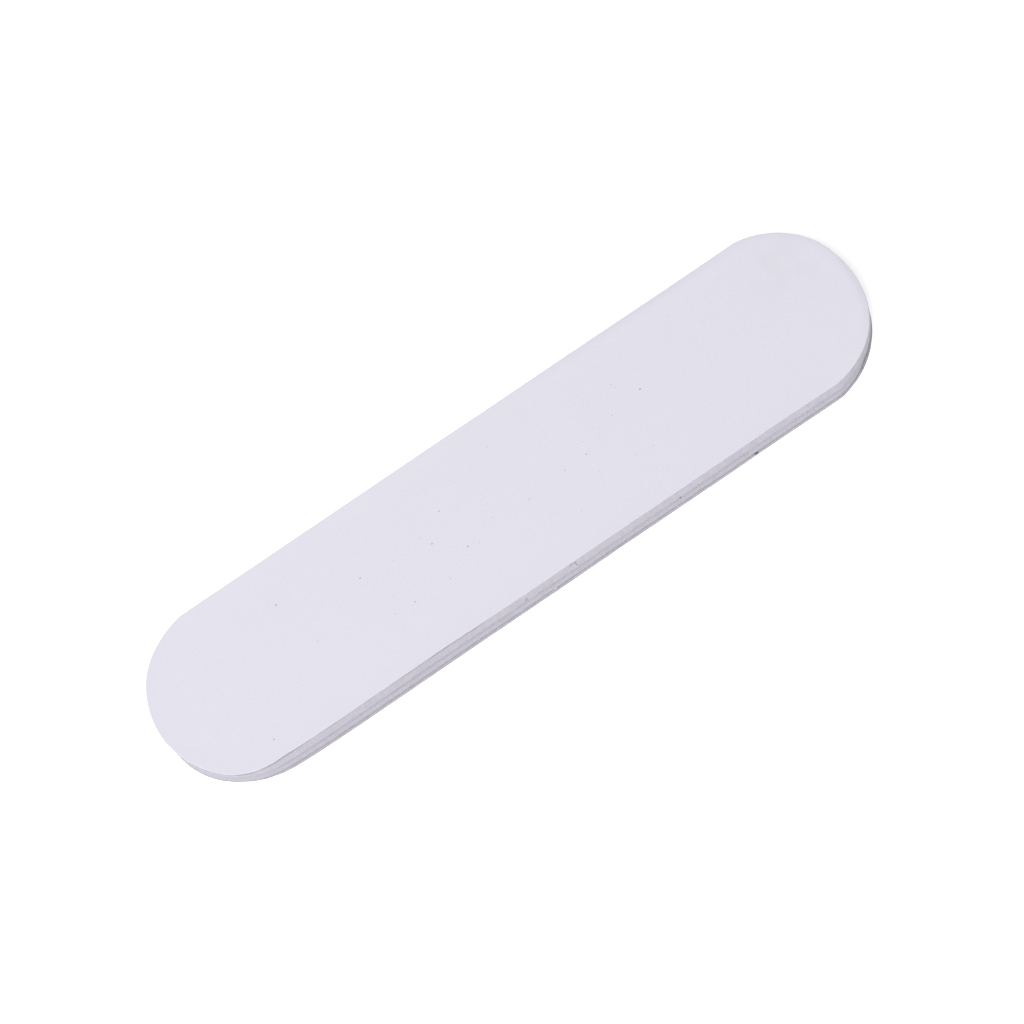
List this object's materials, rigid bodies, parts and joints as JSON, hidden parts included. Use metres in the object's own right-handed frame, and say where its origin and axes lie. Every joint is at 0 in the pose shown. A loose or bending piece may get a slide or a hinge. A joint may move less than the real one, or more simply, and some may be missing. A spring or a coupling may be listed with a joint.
{
  "type": "nail buffer block",
  "caption": "Flat, round-ended hand buffer for nails: fine abrasive sheets glued to both sides of a foam and core laminate.",
  "frame": {"origin": "middle of the underside, where the block rests on a table", "axes": "+X along the block's length, +Y across its width, +Z out of the upper abrasive face"},
  "size_m": [0.09, 0.0204, 0.0047],
  "materials": {
    "abrasive_coat": "fine matt grit",
    "backing_paper": "matt",
    "adhesive": "tacky satin",
    "foam": "matt closed-cell",
    "core": "satin"
  },
  "bodies": {
    "root": {"bottom_abrasive_coat": "abrasive_coat", "bottom_backing_paper": "backing_paper", "bottom_adhesive_film": "adhesive", "lower_foam_layer": "foam", "lower_core_adhesive": "adhesive", "core_strip": "core", "upper_core_adhesive": "adhesive", "upper_foam_layer": "foam", "top_adhesive_film": "adhesive", "top_backing_paper": "backing_paper", "top_abrasive_coat": "abrasive_coat"}
  },
  "joints": []
}
